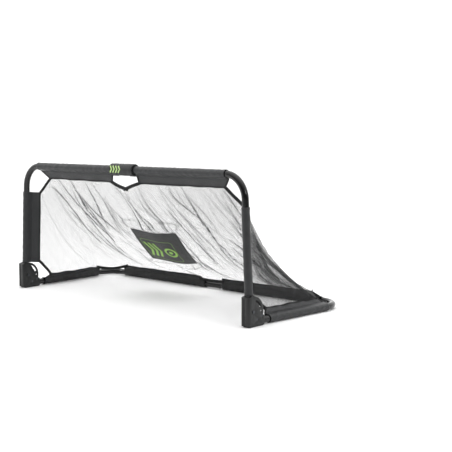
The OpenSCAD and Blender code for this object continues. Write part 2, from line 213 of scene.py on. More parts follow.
# %% Zinc-plated steel
def zinc_plated_steel(name, dark, pale):
    material, tree, surface = new_material(name, 0.35, Metallic=1.0)
    place = object_place(tree)
    mottle = add(tree, "TexVoronoi", Vector=place, Scale=420.0)
    grain = add(tree, "TexNoise", Vector=place, Scale=900.0, Detail=2.0)
    colour = mix_colours(tree, ramp(tree, mottle.outputs["Distance"], 0.0, 0.7), dark, pale)
    shade(tree, surface, colour, ramp(tree, grain.outputs[0], 0.3, 0.7, 0.28, 0.46),
          grain.outputs[0], 0.0001, 0.4)
    return material

ZINC = zinc_plated_steel("zinc plated steel", "#8d9196", "#b9bdc1")
BLACK_ZINC = zinc_plated_steel("black zinc plated steel", "#3c3d40", "#55575a")
print("made", ZINC.name, "and", BLACK_ZINC.name)

# %% [markdown]
# The corner hinges are injection-moulded nylon filled with glass fibre. The mould is spark
# eroded, which leaves an even grain about 0.6 mm across and a satin surface. The filler makes the
# dark grey slightly cloudy.

# %% Moulded nylon
def moulded_nylon():
    material, tree, surface = new_material("glass filled nylon", 0.5)
    place = object_place(tree)
    grain = add(tree, "TexVoronoi", Vector=place, Scale=1500.0)
    cloud = add(tree, "TexNoise", Vector=place, Scale=60.0, Detail=5.0)
    colour = mix_colours(tree, ramp(tree, cloud.outputs[0], 0.3, 0.75), "#0d0f0f", "#171919")
    shade(tree, surface, colour, ramp(tree, cloud.outputs[0], 0.3, 0.7, 0.42, 0.56),
          grain.outputs["Distance"], 0.00025, 0.5)
    return material

NYLON = moulded_nylon()
print("made", NYLON.name)

# %% [markdown]
# The feet are nitrile rubber: nearly black, matt, with a bloom of paler dust.

# %% Rubber
def nitrile_rubber():
    material, tree, surface = new_material("nitrile rubber", 0.75)
    place = object_place(tree)
    dust = add(tree, "TexNoise", Vector=place, Scale=140.0, Detail=6.0)
    colour = mix_colours(tree, ramp(tree, dust.outputs[0], 0.45, 0.8), "#151515", "#2b2a29")
    shade(tree, surface, colour, None, dust.outputs[0], 0.0002, 0.5)
    return material

RUBBER = nitrile_rubber()
print("made", RUBBER.name)

# %% [markdown]
# Sleeves and flaps are polyester canvas with a thin coating. Threads cross about every 0.7 mm;
# that is too fine to show from across a lawn, so it is drawn 1.4 mm apart. Two wave textures at
# right angles make the over-and-under of a plain weave. The pattern follows the cloth through its
# UV map, which is laid out in metres, so every sleeve has the same thread spacing. The coating
# gives the soft satin highlight, and the colour clouds a little as dyed cloth does.

# %% Coated canvas
THREAD = 0.0014

def weave(tree, spacing):
    flat = cloth_place(tree)
    turns = 1 / spacing / 3.2
    warp = add(tree, "TexWave", {"bands_direction": "X"}, Vector=flat, Scale=turns, Distortion=0.6)
    weft = add(tree, "TexWave", {"bands_direction": "Y"}, Vector=flat, Scale=turns, Distortion=0.6)
    crossed = add(tree, "Math", {"operation": "MULTIPLY"}, i0=warp.outputs[1], i1=weft.outputs[1])
    return crossed.outputs[0]

def coated_canvas(name, dark, pale, roughness):
    material, tree, surface = new_material(name, roughness, Sheen_Weight=0.05, Sheen_Roughness=0.4)
    place = object_place(tree)
    cloud = add(tree, "TexNoise", Vector=place, Scale=16.0, Detail=6.0, Roughness=0.65)
    threads = weave(tree, THREAD)
    tone = add(tree, "Math", {"operation": "MULTIPLY_ADD"}, i0=threads, i1=0.3, i2=cloud.outputs[0])
    colour = mix_colours(tree, ramp(tree, tone.outputs[0], 0.35, 0.95), dark, pale)
    crease = add(tree, "TexNoise", Vector=place, Scale=70.0, Detail=3.0)
    relief = add(tree, "Math", {"operation": "MULTIPLY_ADD"},
                 i0=crease.outputs[0], i1=1.6, i2=threads)
    satin = ramp(tree, cloud.outputs[0], 0.3, 0.7, roughness - 0.07, roughness + 0.07)
    shade(tree, surface, colour, satin, relief.outputs[0], 0.0004, 0.45)
    return material

GREY_CANVAS = coated_canvas("grey coated canvas", "#18191b", "#242628", 0.42)
BLACK_CANVAS = coated_canvas("black coated canvas", "#0e0f10", "#161718", 0.5)
print("made", GREY_CANVAS.name, "and", BLACK_CANVAS.name)

# %% [markdown]
# The net is edged with black grosgrain tape, a ribbed binding. Its ribs run across the tape about
# 1.2 mm apart, drawn 2 mm apart here. It is matt and swallows light.

# %% Grosgrain tape
def grosgrain_tape():
    material, tree, surface = new_material("black grosgrain tape", 0.8)
    flat = cloth_place(tree)
    ribs = add(tree, "TexWave", {"bands_direction": "Y"}, Vector=flat, Scale=1 / 0.002 / 3.2)
    colour = mix_colours(tree, ribs.outputs[1], "#080808", "#121213")
    shade(tree, surface, colour, None, ribs.outputs[1], 0.0004, 0.7)
    return material

TAPE = grosgrain_tape()
print("made", TAPE.name)

# %% [markdown]
# Seams are sewn with bonded polyester thread, a slightly paler grey than the cloth.

# %% Thread
def sewing_thread():
    material, tree, surface = new_material("bonded polyester thread", 0.6)
    place = object_place(tree)
    twist = add(tree, "TexNoise", Vector=place, Scale=1200.0)
    colour = mix_colours(tree, twist.outputs[0], "#35373a", "#505255")
    shade(tree, surface, colour, None, twist.outputs[0], 0.0001, 0.5)
    return material

THREAD_GREY = sewing_thread()
print("made", THREAD_GREY.name)

# %% [markdown]
# The prints are green screen ink on the cloth: flat, slightly rubbery, with the weave just
# showing through. Two greens are used, a pale one on the wrap and a stronger one on the patch.

# %% Screen ink
def screen_ink(name, dark, pale):
    material, tree, surface = new_material(name, 0.55)
    place = object_place(tree)
    patchy = add(tree, "TexNoise", Vector=place, Scale=260.0, Detail=4.0)
    colour = mix_colours(tree, ramp(tree, patchy.outputs[0], 0.3, 0.75), dark, pale)
    shade(tree, surface, colour, None, patchy.outputs[0], 0.0002, 0.4)
    return material

GREEN_INK = screen_ink("green screen ink", "#86b846", "#a5d364")
PALE_INK = screen_ink("pale green screen ink", "#a9cc78", "#c4e296")
LINE_INK = screen_ink("dull green screen ink", "#6a8a4a", "#7f9f5c")
print("made", GREEN_INK.name, PALE_INK.name, LINE_INK.name)

# %% [markdown]
# The net is knitted polyester: fine dark threads round small diamond holes, so it reads as a grey
# veil. The real holes are about 1.5 mm across; they are drawn 3 mm across. Two sets of slanting
# lines leave the holes open through the alpha channel. The share of each line that is thread sets
# how much light the net stops. A stored value, "cover", multiplies that share: it thins the net
# where the two halves lap at the centre and thickens it along folds.

# %% Knitted net
HOLE = 0.003
THREAD_SHARE = 0.165  # part of each line's spacing that is thread
MOST_COVER = 5.0

def knitted_net():
    material, tree, surface = new_material("knitted polyester net", 0.7)
    flat = cloth_place(tree)
    cover = add(tree, "Attribute", {"attribute_name": "cover"}).outputs["Fac"]
    edge = ramp(tree, cover, 0.0, MOST_COVER, 1.0, 1.0 - MOST_COVER * THREAD_SHARE)
    lines = []
    for turn in (1, -1):
        slanted = add(tree, "Mapping", None, Vector=flat)
        slanted.inputs["Rotation"].default_value = (0, 0, turn * math.radians(45))
        wave = add(tree, "TexWave", {"wave_profile": "TRI"}, Vector=slanted.outputs[0],
                   Scale=WAVE_PERIOD / HOLE, Distortion=0.8, Detail=1.0, Detail_Scale=40.0)
        line = add(tree, "Math", {"operation": "GREATER_THAN"}, i0=wave.outputs[1], i1=edge)
        lines.append(line.outputs[0])
    thread = add(tree, "Math", {"operation": "MAXIMUM"}, i0=lines[0], i1=lines[1]).outputs[0]
    tree.links.new(thread, surface.inputs["Alpha"])
    colour = mix_colours(tree, cover, "#1e1f20", "#191a1b")
    shade(tree, surface, colour, None, lines[0], 0.0004, 0.5)
    return material

NET = knitted_net()
print("made", NET.name, "with", round(1 - (1 - THREAD_SHARE) ** 2, 2), "of its area thread")

# %% [markdown]
# Every cloth piece is made from grids of points: a row of points across the piece, repeated along
# it. This cell turns grids into one mesh and lays out a UV map called "cloth" from the real
# distances between the points, so the weave keeps its size on every piece. Grids are easier to
# steer than box modelling, and the quads they give bend well when the goal folds.

# %% Grids into meshes
def travelled(points):
    return np.concatenate([[0], np.cumsum(np.linalg.norm(np.diff(points, axis=0), axis=1))])

def quads(rows, cols, closed, first):
    i, j = np.meshgrid(np.arange(rows - 1), np.arange(cols if closed else cols - 1), indexing="ij")
    i, j = i.ravel(), j.ravel()
    k = (j + 1) % cols
    corners = np.stack([i * cols + j, i * cols + k, (i + 1) * cols + k, (i + 1) * cols + j], 1)
    places = np.stack([[i, j], [i, j + 1], [i + 1, j + 1], [i + 1, j]], 1).transpose(2, 1, 0)
    return corners + first, places

def build(name, grids, materials):
    """grids holds (points, material number, closed round) with points[row, column, xyz]"""
    points, faces, flat, slots = [], [], [], []
    first = 0
    for grid, slot, closed in grids:
        rows, cols = grid.shape[:2]
        ring = np.concatenate([grid, grid[:, :1]], 1) if closed else grid
        across, along = travelled(ring[rows // 2]), travelled(grid[:, 0])
        corners, places = quads(rows, cols, closed, first)
        faces.append(corners)
        flat.append(np.stack([across[places[..., 1]], along[places[..., 0]]], -1).reshape(-1, 2))
        slots.append(np.full(len(corners), slot))
        points.append(grid.reshape(-1, 3))
        first += rows * cols
    mesh = bpy.data.meshes.new(name)
    mesh.from_pydata(np.concatenate(points).tolist(), [], np.concatenate(faces).tolist())
    mesh.uv_layers.new(name="cloth").data.foreach_set("uv", np.concatenate(flat).ravel())
    for material in materials:
        mesh.materials.append(material)
    mesh.polygons.foreach_set("material_index", np.concatenate(slots).astype(np.int32))
    mesh.polygons.foreach_set("use_smooth", np.full(len(mesh.polygons), True))
    mesh.update()
    piece = bpy.data.objects.new(name, mesh)
    bpy.context.scene.collection.objects.link(piece)
    return piece

def coordinates(mesh):
    flat = np.zeros(len(mesh.vertices) * 3)
    mesh.vertices.foreach_get("co", flat)
    return flat.reshape(-1, 3)

def unit(vectors):
    return vectors / np.maximum(np.linalg.norm(vectors, axis=-1, keepdims=True), 1e-12)

def along_path(path, count):
    """count points evenly spaced along a line of corner points"""
    path = np.array(path, float)
    reach = travelled(path)
    places = np.linspace(0, reach[-1], count)
    return np.stack([np.interp(places, reach, path[:, axis]) for axis in range(3)], 1)

print("grid helpers ready")

# %% [markdown]
# The goal folds at its lower corners: the front frame lies back onto the base frame. Cloth that
# spans the two has to swing part of the way. A point at some angle above the ground, seen from the
# hinge line, is given a share of the turn, chosen so that at the end of the fold it would land in
# the flat stack and not below it. The share is only worked out: fold_with bakes a piece's transform
# and turns nothing.

# %% How cloth folds
STACK_Z = 0.030  # height at which the folded net lies

def fold_share(points):
    back, up = points[:, 1] - PIVOT.y, points[:, 2] - PIVOT.z
    reach = np.hypot(back, up) + 1e-9
    angle = np.arctan2(up, back)
    lift = STACK_Z + (PIVOT.z - STACK_Z) * np.clip(angle / (math.pi / 2), 0, 1)
    resting = np.arcsin(np.clip((np.minimum(points[:, 2], lift) - PIVOT.z) / reach, -1, 1))
    return np.clip((angle - resting) / (math.pi / 2), 0, 1.05)

def fold_with(piece, shares):
    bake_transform(piece)

halfway = fold_share(np.array([[0, 0, 0.25]]))[0]
print("a point half way up the slope turns", round(float(halfway), 2), "of the fold")

# %% [markdown]
# Tape and straps are flat bands with rounded edges. A band follows a path and has a direction
# across it; its ends are closed by drawing the last row in.

# %% Bands and stitches
def band(path, across, width, thick, slot=0, inset=0.0):
    path, across = np.array(path, float), np.array(across, float)
    along = unit(np.gradient(path, axis=0))
    across = unit(across - (across * along).sum(1, keepdims=True) * along)
    face = np.cross(along, across)
    outline = [(-0.5, -0.2), (-0.44, -0.5), (0, -0.5), (0.44, -0.5),
               (0.5, -0.2), (0.5, 0.2), (0.44, 0.5), (0, 0.5), (-0.44, 0.5), (-0.5, 0.2)]
    rows = np.stack([path + across * (u * width + inset) + face * (v * thick)
                     for u, v in outline], 1)
    centre = (path + across * inset)[:, None]
    shrink = lambda k, s: centre[k] + (rows[k] - centre[k]) * s
    ends = [shrink(0, 0.02), shrink(0, 0.8)], [shrink(-1, 0.8), shrink(-1, 0.02)]
    return np.concatenate([ends[0], rows, ends[1]]), slot, True

def stitches(path, outward, slot, pitch=0.0034, length=0.0024, girth=0.0007):
    """one short thread every pitch along the path, lying on the side that outward points to"""
    path, outward = np.array(path, float), unit(np.array(outward, float))
    reach = travelled(path)
    made = []
    for start in np.arange(pitch, reach[-1] - pitch, pitch):
        first, last = (np.array([np.interp(start + d, reach, line) for line in path.T])
                       for d in (0, length))
        out = np.array([np.interp(start, reach, line) for line in outward.T])
        side = np.cross(unit(last - first), out)
        ring = np.array([out, side, -out, -side]) * girth
        rows = [first + (last - first) * share + ring * fullness
                for share, fullness in ((0, 0.1), (0.3, 0.5), (0.7, 0.5), (1, 0.1))]
        made.append((np.array(rows), slot, True))
    return made

print("band and stitch helpers ready")

# %% [markdown]
# A sleeve is one strip of canvas folded round the tube and sewn to itself, so that both layers
# carry on past the seam as a flap. The net is sewn to the flap's free edge under a binding tape.
# Seen end on it is a teardrop: a round tunnel, two straight sides that meet at the seam, then the
# flap. The tunnel is a little loose, so it creases. Creases are folded sine waves with seeded
# directions: sharp along the crease and soft between, as coated cloth is. A cloth simulation of a
# strip this stiff would give much the same for far more work.

# %% Sleeve cloth
LAYER = 0.0009  # half the thickness of the two layers together
TUNNEL_R = SLEEVE_R - 0.0006
SEAM = SLEEVE_R * 1.45  # distance from the tube's axis to the seam
TAPE_W = 0.0075
TAPE_T = 0.0032

def creases(seed, along, turn, shortest, longest, count=9):
    rng = np.random.default_rng(seed)
    total = np.zeros(np.broadcast(along, turn).shape)
    for _ in range(count):
        wavelength = rng.uniform(shortest, longest)
        skew = rng.uniform(-0.02, 0.02)
        wave = np.sin(math.pi * (along + skew * turn) / wavelength + rng.uniform(0, 6))
        window = 0.5 + 0.5 * np.sin(turn * rng.integers(1, 3) + along * rng.uniform(4, 16)
                                    + rng.uniform(0, 6))
        total += (0.55 - np.abs(wave)) * window * rng.uniform(0.4, 1)
    return total / count ** 0.5

def teardrop(reaches, count_round=40, count_side=6, count_flap=12):
    """points round the section at each station, out along the flap and to the side of it"""
    meet = math.acos(TUNNEL_R / SEAM)
    angles = np.linspace(meet, 2 * math.pi - meet, count_round)
    round_part = np.stack([np.cos(angles), np.sin(angles)], 1) * TUNNEL_R
    blend_part = np.linspace(0, 1, count_side + 2)[1:-1, None]
    side = round_part[0] * blend_part + np.array([SEAM, LAYER]) * (1 - blend_part)
    rows = []
    for reach in reaches:
        out = np.linspace(max(reach, SEAM + 0.001), SEAM, count_flap)
        upper = np.concatenate([np.stack([out, np.full(count_flap, LAYER)], 1), side])
        rows.append(np.concatenate([upper, round_part, (upper * [1, -1])[::-1]]))
    return np.array(rows)

def sleeve(name, start, stop, off, edge, seed, canvas, lean=None, ruffle=1.0):
    """start and stop are on the tube's axis, off points from it along the flap, edge gives the
    flap's reach from the axis at each distance along the tube, and lean turns the flap about it"""
    start, stop, off = (np.array(v, float) for v in (start, stop, off))
    length = np.linalg.norm(stop - start)
    along = (stop - start) / length
    off = unit(off - off.dot(along) * along)
    face = np.cross(along, off)
    stations = np.linspace(0, length, int(length / 0.004) + 1)
    leans = np.array([lean(s) if lean else 0.0 for s in stations])[:, None]
    offs = np.cos(leans) * off + np.sin(leans) * face
    faces = np.cos(leans) * face - np.sin(leans) * off
    reaches = np.array([edge(s) for s in stations])
    section = teardrop(reaches)
    a, n = section[..., 0], section[..., 1]
    radius, turn = np.hypot(a, n), np.arctan2(n, a)
    out = np.clip((a - SEAM) / (FLAP_REACH_MAX - SEAM), 0, 1)
    s = stations[:, None]
    slack = creases(seed, s, turn, 0.02, 0.075) * 0.0021 - 0.0006
    tight = np.minimum(1, np.minimum(s, length - s) / 0.02)
    loose = np.clip((SEAM - a) / (SEAM - TUNNEL_R), 0, 1) * (0.35 + 0.65 * tight)
    new_radius = np.maximum(radius + slack * loose, TUBE_R + 0.0008)
    a, n = a * new_radius / radius, n * new_radius / radius
    rng = np.random.default_rng(seed + 1)
    wave = sum(np.sin(2 * math.pi * s / rng.uniform(0.06, 0.22) + rng.uniform(0, 6) + out * 2)
               for _ in range(4))
    pucker = np.sin(2 * math.pi * s / 0.011 + rng.uniform(0, 6)) * 0.00025
    near_seam = np.exp(-((a - SEAM) / 0.006) ** 2)
    n = n + out ** 1.2 * wave * 0.0011 * ruffle + pucker * ruffle * near_seam
    hem = np.exp(-((np.minimum(s, length - s) - 0.011) / 0.0022) ** 2) * 0.0005
    shift = 1 - hem * (out <= 0) / np.maximum(radius, 0.01)
    a, n = a * shift, n * shift
    place = lambda k, a, n: (start + along * stations[k]
                             + a[:, None] * offs[k] + n[:, None] * faces[k])
    every = range(len(stations))
    rows = [place(k, a[k], n[k]) for k in every]
    for k, step in ((0, 1), (len(stations) - 1, -1)):
        inner = 1 - 0.0014 / np.maximum(np.hypot(a[k], n[k]), 0.006)
        flat_n = np.where(out[k] > 0, n[k] * 0.2, n[k] * inner)
        lip = place(k, a[k] * np.where(out[k] > 0, 1, inner), flat_n)
        deep = lip + along * step * 0.005
        rows = [deep, lip] + rows if step > 0 else rows + [lip, deep]
    grids = [(np.array(rows), 0, True)]
    rim = np.array([place(k, a[k][:1], (n[k][:1] + n[k][-1:]) / 2)[0] for k in every])
    grids.append(band(rim, offs, TAPE_W, TAPE_T, 1, inset=0.001 - TAPE_W / 2))
    deepest = reaches > SEAM + 0.012
    sewn = np.array([place(k, np.array([SEAM + 0.002]), np.array([0.0]))[0] for k in every])
    for side in (1, -1):
        lift = faces * side
        seam = sewn + lift * (LAYER + 0.0002)
        grids += stitches(seam[2:-2], lift[2:-2], 2)
        edge_row = rim[deepest] - offs[deepest] * 0.0045 + lift[deepest] * (TAPE_T / 2)
        grids += stitches(edge_row, lift[deepest], 2)
    piece = build(name, grids, [canvas, TAPE, THREAD_GREY])
    print(name, "is", round(length * 1000), "mm long and reaches",
          round(float(reaches.max()) * 1000), "mm")
    return piece

FLAP_REACH = span("right_post_flap", Y)[1] - PIVOT.y  # how far the post's flap reaches back
FLAP_REACH_MAX = FLAP_REACH / math.sin(math.radians(45))
SIDE_REACH = span("right_side_flap", Z)[1] - BASE_Z  # how far the side tube's flap reaches up
SIDE_REACH_MAX = SIDE_REACH / math.sin(math.radians(45))

def girth(reach):
    return 2 * (reach - SEAM) + 2 * math.pi * TUNNEL_R * 0.85

print("flaps reach", round(FLAP_REACH_MAX, 4), "and", round(SIDE_REACH_MAX, 4),
      "m from their tubes' axes")

# %% [markdown]
# The four sleeves of each half use that one function. The post's flap points in and back, the
# crossbar's down and a little back, the side tube's in and up, the rear bar's up and forward.
# The left half is built at mirrored places with its own creases, so the two halves aren't copies.
# For the flaps on the base a share of the fold is worked out, more towards their free edges; the
# flaps are not turned by it.

# %% Sleeves
BAR_IN = span("right_bar_flap", X)[0]
BAR_OUT = span("right_bar_sleeve", X)[1]
BAR_EDGE_Z = span("right_bar_flap", Z)[0]
BACK_IN = span("right_back_sleeve", X)[0]
BACK_OUT = span("right_back_sleeve", X)[1]
BACK_EDGE = np.array([span("right_back_flap", Y)[0], span("right_back_flap", Z)[1]])
BACK_REACH = float(np.hypot(BACK_EDGE[0] - BACK_Y, BACK_EDGE[1] - BASE_Z))
SIDE_FRONT = span("right_side_sleeve", Y)[0]
SIDE_BACK = span("right_side_sleeve", Y)[1]
POST_LOW = span("right_post_sleeve", Z)[0]
POST_HIGH = span("right_post_sleeve", Z)[1]

SLEEVE_IN = span("right_bar_sleeve", X)[0]
BAR_DROP = BAR_Z - BAR_EDGE_Z
# How far each end of a flap is cut back at its free edge
BAR_CUT_IN = 0.008
BAR_CUT_OUT = 0.038
SIDE_CUT_FRONT = 0.020
SIDE_CUT_BACK = 0.022
BACK_CUT_IN = 0.014
BACK_CUT_OUT = 0.030
LEAN_IN = math.radians(9)
LEAN_OUT = math.radians(33)

def bar_lean(s):
    """the crossbar's flap hangs nearly straight at the centre and is drawn back towards the post"""
    share = min(1.0, max(0.0, s / (BAR_OUT - SLEEVE_IN)))
    return LEAN_IN + (LEAN_OUT - LEAN_IN) * share

def tapered(reach, length, start, stop, least=None):
    """a flap that grows over the first start metres and dies away over the last stop metres"""
    least = SEAM + 0.001 if least is None else least
    def edge(s):
        share = min(1.0, s / max(start, 1e-6), (length - s) / max(stop, 1e-6))
        return least + (reach - least) * max(0.0, share)
    return edge

def flap_shares(piece, axis_point, axis_way, root, reach):
    """the fold's share: root at the seam, and that of the place itself at the free edge"""
    points = coordinates(piece.data)
    away = points - np.array(axis_point)
    way = unit(np.array(axis_way, float))
    distance = np.linalg.norm(away - (away @ way)[:, None] * way, axis=1)
    out = np.clip((distance - SEAM) / (reach - SEAM), 0, 1)
    return (1 - out) * root + out * fold_share(points)

for side, sign in SIDES.items():
    seed = 10 if sign > 0 else 60
    post_foot = (sign * post_x(POST_LOW), PIVOT.y, POST_LOW)
    post_head = (sign * post_x(POST_HIGH), PIVOT.y, POST_HIGH)
    post = sleeve(f"{side}_post_cloth", post_foot, post_head, (-sign, 1, 0),
                  lambda s: FLAP_REACH_MAX, seed, GREY_CANVAS)
    way = np.subtract(post_head, post_foot)
    fold_with(post, flap_shares(post, post_foot, way, 1.0, FLAP_REACH_MAX))
    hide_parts(f"{side}_post_sleeve", f"{side}_post_flap")

    fullness = tapered(1.0, BAR_OUT - BAR_IN, BAR_CUT_IN, BAR_CUT_OUT, 0.0)
    bar_edge = lambda s: (SEAM + 0.001 + (BAR_DROP / math.cos(bar_lean(s)) - SEAM)
                          * fullness(s - (BAR_IN - SLEEVE_IN)))
    bar = sleeve(f"{side}_bar_cloth", (sign * SLEEVE_IN, PIVOT.y, BAR_Z),
                 (sign * BAR_OUT, PIVOT.y, BAR_Z), (0, 0, -1), bar_edge,
                 seed + 1, GREY_CANVAS, lambda s: sign * bar_lean(s))
    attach(bar, f"{side}_front")
    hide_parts(f"{side}_bar_sleeve", f"{side}_bar_flap")

    side_front = (sign * side_x(SIDE_FRONT), SIDE_FRONT, BASE_Z)
    side_back = (sign * side_x(SIDE_BACK), SIDE_BACK, BASE_Z)
    side_edge = tapered(SIDE_REACH_MAX, SIDE_BACK - SIDE_FRONT, SIDE_CUT_FRONT, SIDE_CUT_BACK)
    tube = sleeve(f"{side}_side_cloth", side_front, side_back, (-sign, 0, 1), side_edge,
                  seed + 2, GREY_CANVAS, ruffle=3.4)
    way = np.subtract(side_back, side_front)
    fold_with(tube, flap_shares(tube, side_front, way, 0.0, SIDE_REACH_MAX))
    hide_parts(f"{side}_side_sleeve", f"{side}_side_flap")

    back_edge = tapered(BACK_REACH, BACK_OUT - BACK_IN, BACK_CUT_IN, BACK_CUT_OUT)
    rear = sleeve(f"{side}_back_cloth", (sign * BACK_IN, BACK_Y, BASE_Z),
                  (sign * BACK_OUT, BACK_Y, BASE_Z),
                  (0, BACK_EDGE[0] - BACK_Y, BACK_EDGE[1] - BASE_Z), back_edge,
                  seed + 3, BLACK_CANVAS)
    fold_with(rear, flap_shares(rear, (0, BACK_Y, BASE_Z), (1, 0, 0), 0.0, BACK_REACH))
    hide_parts(f"{side}_back_sleeve", f"{side}_back_flap")

    bar_reach = BAR_DROP / math.cos(LEAN_OUT / 2)
    for piece, node, reach in ((post, "post_sleeve", FLAP_REACH_MAX),
                               (bar, "bar_sleeve", bar_reach),
                               (tube, "side_sleeve", SIDE_REACH_MAX),
                               (rear, "back_sleeve", BACK_REACH)):
        round(girth(reach), 3)

# %% [markdown]
# Short straps of the same tape carry the binding round the open corners, from one flap's edge to
# the next, so that the net has a border all the way round. A strap is pulled nearly straight
# between its two seams and sags a little under its own weight. The one below the crossbar's centre
# is longer than its gap, so that the bar can be pulled apart, and hangs as a slack V in two halves.

# %% Straps
STRAP_W = 0.0145
STRAP_T = 0.0030

BAR_EDGE_Y = PIVOT.y + BAR_DROP * math.tan(LEAN_IN)  # at the flap's inner end
BAR_END = np.array([BAR_OUT - BAR_CUT_OUT, PIVOT.y + BAR_DROP * math.tan(LEAN_OUT), BAR_EDGE_Z])
POST_TOP = np.array([post_x(POST_HIGH) - FLAP_REACH, PIVOT.y + FLAP_REACH, POST_HIGH - 0.002])
POST_FOOT = np.array([post_x(POST_LOW) - FLAP_REACH, PIVOT.y + FLAP_REACH, POST_LOW + 0.002])
SIDE_EDGE_Z = BASE_Z + SIDE_REACH
SIDE_START, SIDE_END = (np.array([side_x(y) - SIDE_REACH, y, SIDE_EDGE_Z])
                        for y in (SIDE_FRONT + SIDE_CUT_FRONT, SIDE_BACK - SIDE_CUT_BACK))
BACK_END = np.array([BACK_OUT - BACK_CUT_OUT, BACK_EDGE[0], BACK_EDGE[1]])
DROP = span("right_bar_flap", Z)[0] - span("right_drop_strap", Z)[0]
LAP = 0.010  # how far a strap runs on under the binding

def sagging(start, stop, sag, count=24):
    """a line between two points that dips by the vector sag, run on past both ends by the lap"""
    run = unit(stop - start) * LAP
    share = np.linspace(0, 1, count)[:, None]
    line = (start - run) * (1 - share) + (stop + run) * share
    return line + 4 * share * (1 - share) * np.array(sag)

def strap(name, path, facing, nodes):
    """facing is the way that the strap's broad face looks"""
    length = travelled(path)[-1]
    wave = 0.0006 * np.sin(np.linspace(0, length, len(path)) / 0.011)[:, None]
    across = unit(np.cross(np.gradient(path, axis=0), np.array(facing, float)))
    lift = unit(np.cross(np.gradient(path, axis=0), across))
    piece = build(name, [band(path + lift * wave, across, STRAP_W, STRAP_T)], [TAPE])
    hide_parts(*nodes)
    print(name, "is", round(length * 1000), "mm long")
    return piece

for side, sign in SIDES.items():
    flip = np.array([sign, 1, 1])
    for place, start, stop, sag, facing in (
            ("top", BAR_END, POST_TOP, (0.003, 0, -0.003), (0, -1, 0)),
            ("low", POST_FOOT, SIDE_START, (-0.002, 0.004, -0.002), (1, -0.4, 0.2)),
            ("back", SIDE_END, BACK_END, (-0.004, -0.002, -0.011), (-0.4, -0.8, 0.4))):
        path = sagging(start * flip, stop * flip, sag * flip)
        piece = strap(f"{side}_{place}_tape", path, facing * flip, [f"{side}_{place}_strap"])
        fold_with(piece, fold_share(coordinates(piece.data)))

for side, sign in SIDES.items():
    start = np.array([sign * (BAR_IN + BAR_CUT_IN), BAR_EDGE_Y, BAR_EDGE_Z])
    behind = 0 if sign > 0 else 0.004
    tip = np.array([-sign * 0.002, BAR_EDGE_Y + behind, BAR_EDGE_Z - DROP + 0.004])
    bow = (sign * 0.002, 0, -0.003 if sign < 0 else 0.002)
    piece = strap(f"{side}_drop_tape", sagging(start, tip, bow), (0, -1, 0.1),
                  [f"{side}_drop_strap"])
    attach(piece, f"{side}_front")

GAP_X, GAP_Y, GAP_Z = span("gap_strap", X)[1], middle("gap_strap", Y), middle("gap_strap", Z)
gap_ends = [np.array([sign * GAP_X, GAP_Y, GAP_Z]) for sign in (1, -1)]
gap = strap("gap_tape", sagging(*gap_ends, (0, 0, -0.003), 40), (0, -1, 0.3), ["gap_strap"])
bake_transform(gap)

# %% [markdown]
# The net is one knitted cloth cut to the border's outline with some to spare. It is laid out first
# as a smooth slope between its border lines. Long folds are drawn on it, and a cloth simulation
# with its border held still then works the rest of the slack into it. The seam between the slope
# and each side panel runs from the post flap's top corner to the rear end of the side flap.

# %% Net before it hangs
SAG = 0.035  # middle of the slope, back and down
CELL = 0.013

def slope_between(upper, lower, shares):
    shares = np.asarray(shares)[:, None]
    line = upper * (1 - shares) + lower * shares
    return line - 2 * shares * (1 - shares) * 2 * SAG * np.array([0, 1, 1])

def back_panel(across, down):
    """rows go down the slope, columns from the centre out to the right seam"""
    inner_top = np.array([BAR_IN + BAR_CUT_IN, BAR_EDGE_Y + 0.001, BAR_EDGE_Z])
    centre_top = inner_top * [0, 1, 1] + [0, 0.002, 0.002 - DROP]
    centre_low = np.array([0, GAP_Y - 0.001, GAP_Z + 0.003])
    gap_end = np.array([BACK_IN + BACK_CUT_IN, BACK_EDGE[0], BACK_EDGE[1]])
    top = along_path([centre_top, inner_top, BAR_END, POST_TOP], across)
    low = along_path([centre_low, centre_low + [BACK_IN, 0, 0], gap_end, BACK_END, SIDE_END],
                     across)
    shares = np.linspace(0, 1, down)
    return np.stack([slope_between(top[k], low[k], shares) for k in range(across)], 1)

def side_panel(seam, across):
    """rows follow the seam, columns go from the seam out to the flaps' edges"""
    border = along_path([POST_TOP, POST_FOOT, SIDE_START, SIDE_END], len(seam))
    share = np.linspace(0, 1, across)[None, :, None]
    return seam[:, None] * (1 - share) + border[:, None] * share

def mirrored(grid):
    return (grid * [-1, 1, 1])[:, ::-1]

right_back = back_panel(int(0.70 / CELL), int(0.68 / CELL))
right_side = side_panel(right_back[:, -1], int(0.34 / CELL))
panels = {"right_back": right_back, "right_side": right_side,
          "left_back": mirrored(right_back), "left_side": mirrored(right_side)}
whole_back = np.concatenate([panels["left_back"][:, :-1], right_back], 1)
print("net panels:", {name: grid.shape[:2] for name, grid in panels.items()})

# %% [markdown]
# A loose net pulls into long folds. Here they run down the slope and drift to the right, because
# the patch and the taut right corner draw the cloth that way; shorter ones follow the seam of the
# right side panel, where the slack gathers. Each fold is a line drawn on the smooth net, with
# seeded places. Cloth near a line is lifted into a low ridge, and later shows more thread there,
# since a fold is two or three layers seen edge on.

# %% Fold lines
def on_grid(grid, across, down):
    """points of a grid at shares 0 to 1 across and down it"""
    j, i = np.asarray(across) * (grid.shape[1] - 1), np.asarray(down) * (grid.shape[0] - 1)
    j0 = np.clip(j.astype(int), 0, grid.shape[1] - 2)
    i0 = np.clip(i.astype(int), 0, grid.shape[0] - 2)
    b, a = (j - j0)[:, None], (i - i0)[:, None]
    return ((grid[i0, j0] * (1 - b) + grid[i0, j0 + 1] * b) * (1 - a)
            + (grid[i0 + 1, j0] * (1 - b) + grid[i0 + 1, j0 + 1] * b) * a)

SLOPE_FOLDS = 80
PANEL_FOLDS = 16
RIDGE_W = 0.013
RIDGE_HIGH = 0.010
OFF_SLOPE = np.array([0, 0.7, 0.7])  # roughly square to the slope, outward

